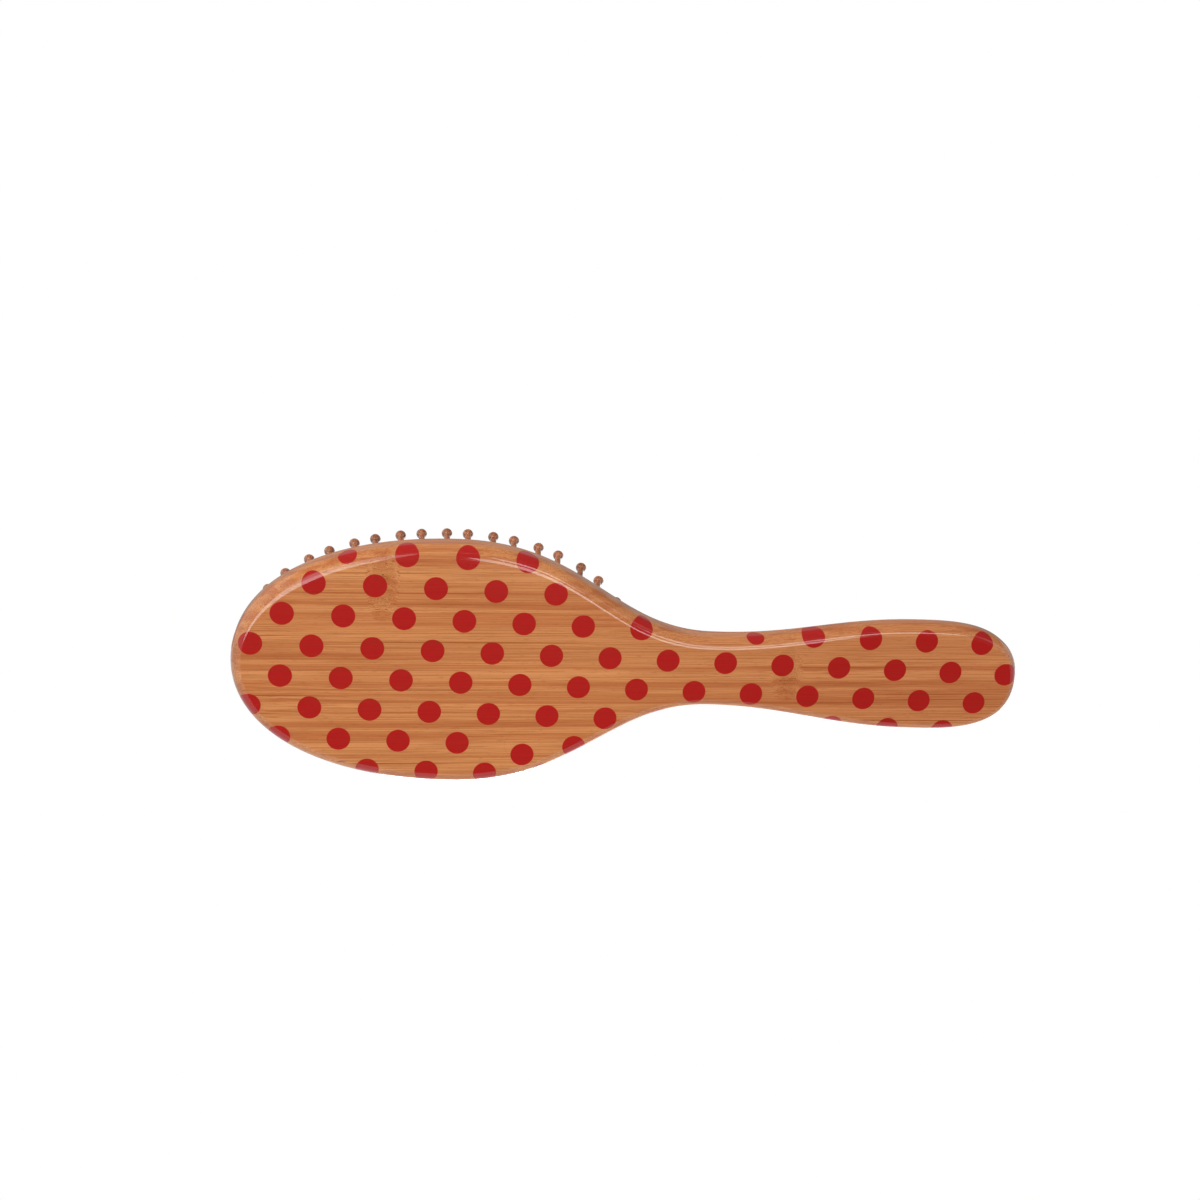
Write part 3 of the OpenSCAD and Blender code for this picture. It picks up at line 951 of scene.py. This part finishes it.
# Name, place in metres, width, depth and radiance of each lamp. The shine lamps only
# show as reflections, the soft lamps only give light, and the others do both
LAMPS = (
    ("head_shine", (-0.565, -0.13, -1.5), 0.79, 0.94, 5.0),
    ("head_rim_shine", (-0.72, -1.25, -1.5), 1.10, 1.30, 2.4),
    ("neck_shine", (0.285, 0.02, -1.5), 0.39, 0.64, 5.5),
    ("handle_shine", (0.62, -0.95, -1.5), 0.66, 0.60, 5.5),
    ("side_soft", (-0.45, -1.25, -0.60), 1.20, 0.80, 6.4),
    ("far_side_soft", (0.20, 1.30, -0.60), 1.20, 0.80, 4.1),
    ("back_soft", (0.0, 0.0, -1.5), 1.00, 1.00, 2.3),
    ("key_soft", (-0.65, -0.75, 1.05), 0.80, 0.80, 4.2),
    ("fill_above", (0.80, 0.90, 0.90), 1.00, 1.00, 2.0),
    ("glint_above", (0.10, 0.95, 1.20), 0.35, 0.35, 8.0),
)
# Cards that only show as reflections: name, middle, two half sides in metres and level.
# The flat back reflects the dark one, and the sides of the board the grey ones
CARDS = (
    ("dark_card", (0.30, 0.655, -1.5), (0.95, 0, 0), (0, 0.31, 0), 0.0),
    ("card_below", (0.1, -1.05, -1.55), (1.4, 0, 0), (0, 1.4, 0), 0.12),
    ("card_above", (0.1, -0.25, 1.5), (1.6, 0, 0), (0, 0.7, 0), 0.30),
    ("card_aside", (1.3, -2.0, 1.15), (3.2, 0, 0), (0, 0, 2.25), 0.12),
)


class BRUSH_OT_studio(bpy.types.Operator):
    """Makes the stage: the main camera, the lamps, the pale floor and the world"""
    bl_idname = "brush.studio"
    bl_label = "Studio"
    bl_options = {"REGISTER", "UNDO"}

    def execute(self, context):
        scene, studio = context.scene, context.scene.brush_studio
        scene.view_settings.view_transform = "Standard"
        self.camera(scene, studio)
        self.lamps(scene)
        self.cards(scene)
        self.floor(scene, studio)
        self.world(scene, studio)
        return {"FINISHED"}

    def camera(self, scene, studio):
        """The main camera, which looks up at the back."""
        data = bpy.data.cameras.new("main_camera")
        data.sensor_width = 36
        data.lens = studio.lens
        data.clip_start = 0.01
        camera = bpy.data.objects.new("main_camera", data)
        camera.location = studio.camera_at
        camera.rotation_euler = studio.camera_turn
        scene.collection.objects.link(camera)
        scene.camera = camera

    def lamps(self, scene):
        """The lamps: those for shine face straight up, the others face the brush."""
        aim = (CAD_BOX[0] + CAD_BOX[1]) / 2
        for name, at, width, height, radiance in LAMPS:
            data = bpy.data.lights.new(name, "AREA")
            data.shape = "RECTANGLE"
            data.size, data.size_y = width, height
            data.energy = radiance * math.pi * width * height
            lamp = bpy.data.objects.new(name, data)
            lamp.location = at
            facing = Vector((0, 0, 1)) if name.endswith("shine") else aim - Vector(at)
            lamp.rotation_euler = facing.to_track_quat("-Z", "Y").to_euler()
            lamp.visible_camera = False
            lamp.visible_glossy = not name.endswith("soft")
            lamp.visible_diffuse = not name.endswith("shine")
            scene.collection.objects.link(lamp)

    def cards(self, scene):
        """Cards that the lacquer reflects in place of the white all round."""
        for name, middle, across, along, level in CARDS:
            corners = [Vector(middle) + i * Vector(across) + j * Vector(along)
                       for i, j in ((-1, -1), (1, -1), (1, 1), (-1, 1))]
            mesh = bpy.data.meshes.new(name)
            mesh.from_pydata(corners, [], [(0, 1, 2, 3)])
            mesh.materials.append(Tree(name).finish(
                Base_Color=(0, 0, 0, 1), Roughness=1.0, Specular_IOR_Level=0.0,
                Emission_Color=(1, 1, 1, 1), Emission_Strength=level))
            card = bpy.data.objects.new(name, mesh)
            scene.collection.objects.link(card)
            for ray in ("camera", "diffuse", "transmission", "shadow"):
                setattr(card, f"visible_{ray}", False)

    def floor(self, scene, studio):
        """A round floor that the camera sees, and that sends no light to the brush."""
        turn = 2 * np.pi * np.arange(studio.floor_steps) / studio.floor_steps
        edge = studio.floor_reach * np.stack([np.cos(turn), np.sin(turn)], 1)
        faces = [tuple(range(studio.floor_steps))]
        mesh = bpy.data.meshes.new("pale_floor")
        mesh.from_pydata([tuple(v) for v in with_height(edge, -FLOOR_GAP)], [], faces)
        mesh.materials.append(floor_material(studio))
        floor = bpy.data.objects.new("pale_floor", mesh)
        scene.collection.objects.link(floor)
        for ray in ("diffuse", "glossy", "transmission", "shadow"):
            setattr(floor, f"visible_{ray}", False)

    def world(self, scene, studio):
        """White to the camera and in reflections, a plain level as light."""
        world = bpy.data.worlds.new("studio_world")
        world.use_nodes = True
        nodes, links = world.node_tree.nodes, world.node_tree.links
        path = nodes.new("ShaderNodeLightPath")
        even, white = nodes["Background"], nodes.new("ShaderNodeBackground")
        even.inputs["Color"].default_value = (1, 1, 1, 1)
        even.inputs["Strength"].default_value = studio.ambient
        white.inputs["Color"].default_value = (1, 1, 1, 1)
        white.inputs["Strength"].default_value = 1.0
        seen = path.outputs["Is Camera Ray"]
        for ray in ("Is Glossy Ray", "Is Transmission Ray"):
            either = nodes.new("ShaderNodeMath")
            either.operation = "MAXIMUM"
            links.new(seen, either.inputs[0])
            links.new(path.outputs[ray], either.inputs[1])
            seen = either.outputs[0]
        mix = nodes.new("ShaderNodeMixShader")
        links.new(seen, mix.inputs[0])
        links.new(even.outputs[0], mix.inputs[1])
        links.new(white.outputs[0], mix.inputs[2])
        links.new(mix.outputs[0], nodes["World Output"].inputs["Surface"])
        scene.world = world


class BRUSH_PT_sidebar(bpy.types.Panel):
    """The brush's pieces, sizes and colours"""
    bl_idname = "BRUSH_PT_sidebar"
    bl_label = "Hair brush"
    bl_space_type = "VIEW_3D"
    bl_region_type = "UI"
    bl_category = "Hair brush"

    def draw(self, context):
        layout = self.layout
        for operator in OPERATORS:
            layout.operator(operator.bl_idname)
        for attribute, group in GROUPS.items():
            box = layout.box()
            box.label(text=group.__doc__)
            for name in group.__annotations__:
                box.prop(getattr(context.scene, attribute), name)


OPERATORS = (BRUSH_OT_board, BRUSH_OT_cushion, BRUSH_OT_pins, BRUSH_OT_studio)


def register():
    for cls in (*GROUPS.values(), *OPERATORS, BRUSH_PT_sidebar):
        bpy.utils.register_class(cls)
    for attribute, group in GROUPS.items():
        setattr(bpy.types.Scene, attribute, PointerProperty(type=group))


def unregister():
    for attribute in GROUPS:
        delattr(bpy.types.Scene, attribute)
    for cls in (BRUSH_PT_sidebar, *OPERATORS, *GROUPS.values()):
        bpy.utils.unregister_class(cls)


def main():
    register()
    bpy.ops.brush.board()
    bpy.ops.brush.cushion()
    bpy.ops.brush.pins()
    bpy.ops.brush.studio()


if __name__ == "__main__":
    main()
